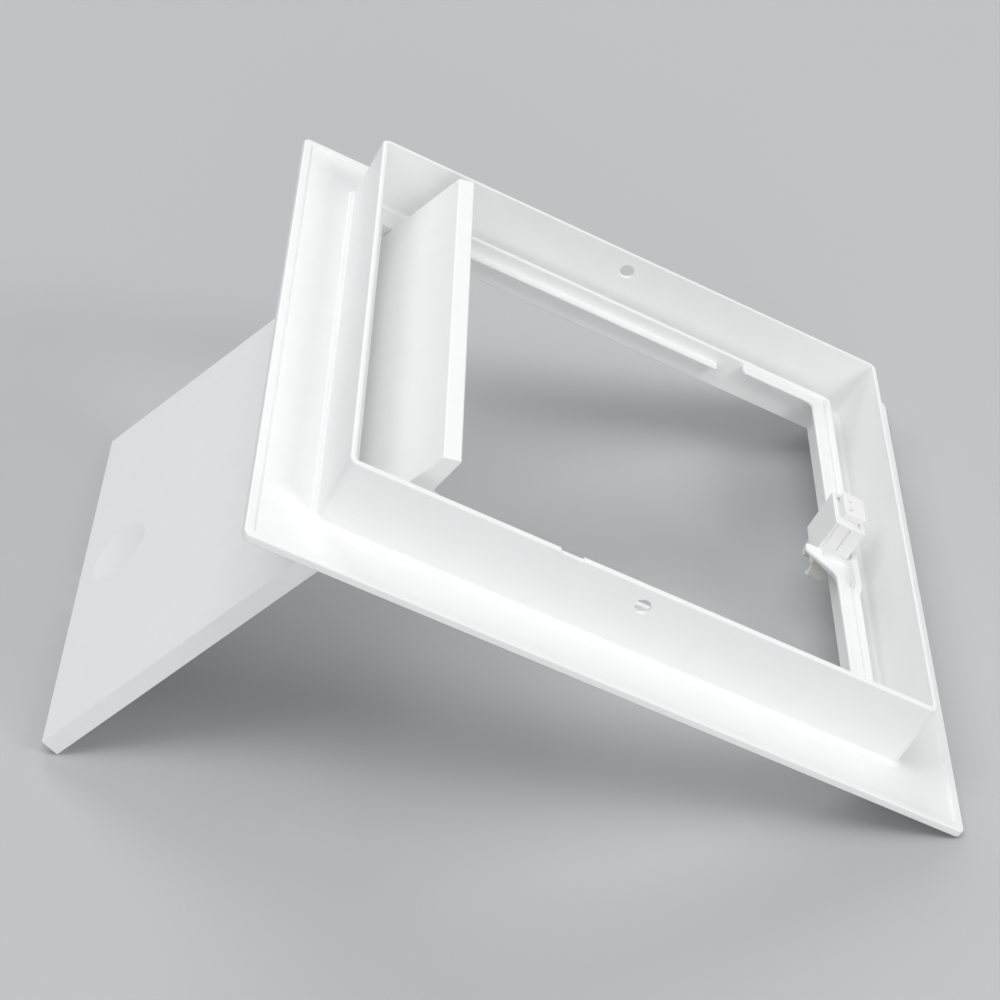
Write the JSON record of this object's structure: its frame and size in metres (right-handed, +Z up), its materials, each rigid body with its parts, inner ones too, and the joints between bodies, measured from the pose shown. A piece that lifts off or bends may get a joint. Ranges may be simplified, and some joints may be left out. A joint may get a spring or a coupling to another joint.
{
  "type": "ceiling access panel",
  "caption": "Square white plastic access panel: flanged frame with a collar, and a flush hinged door held shut by a push latch.",
  "frame": {"origin": "on the floor, midway along and across the panel as it stands with its door open as a prop", "axes": "+Z up from the floor, +Y along the hinge pins, +X from the open door towards the latch side of the frame; the frame leans 27.2 degrees about Y"},
  "size_m": [0.2884, 0.242, 0.1241],
  "materials": {
    "white_abs": "satin white moulded plastic with a fine grain",
    "latch_white": "white moulded plastic",
    "latch_nylon": "off-white nylon",
    "steel": "bright steel wire and pins"
  },
  "bodies": {
    "frame": {"flange": "white_abs", "collar": "white_abs", "pocket_walls": "white_abs", "lip_near": "white_abs", "lip_far": "white_abs", "lip_latch": "white_abs", "latch_housing": "latch_white", "latch_cap": "latch_white", "latch_follower": "steel"},
    "door": {"door_panel": "white_abs", "hinge_pins": "steel", "striker": "latch_nylon"},
    "plunger": {"latch_plunger": "latch_nylon", "jaw_pins": "steel", "latch_spring": "steel"},
    "jaw_near": {"latch_jaw_near": "latch_nylon"},
    "jaw_far": {"latch_jaw_far": "latch_nylon"}
  },
  "joints": [
    {"name": "door_swing", "type": "hinge", "parent": "frame", "child": "door", "pos_m": [-0.01973, 0, 0.09509], "axis": [0, -1, 0], "range_deg": [0, 112.55]},
    {"name": "latch_plunge", "type": "slide", "parent": "frame", "child": "plunger", "axis": [0.4567, 0, 0.8896], "range_m": [0, 0.007], "deforming": ["latch_spring"]},
    {"name": "jaw_near_turn", "type": "hinge", "parent": "plunger", "child": "jaw_near", "pos_m": [0.10859, -0.006, 0.02246], "axis": [0.8896, 0, -0.4567], "range_deg": [0, 28]},
    {"name": "jaw_far_turn", "type": "hinge", "parent": "plunger", "child": "jaw_far", "pos_m": [0.10859, 0.002, 0.02246], "axis": [-0.8896, 0, 0.4567], "range_deg": [0, 28]}
  ],
  "couplings": [
    {"joint": "latch_plunge", "follows": "door_swing", "m_per_rad": 0.0035635},
    {"joint": "jaw_near_turn", "follows": "door_swing", "ratio": 0.24878},
    {"joint": "jaw_far_turn", "follows": "door_swing", "ratio": 0.24878}
  ]
}
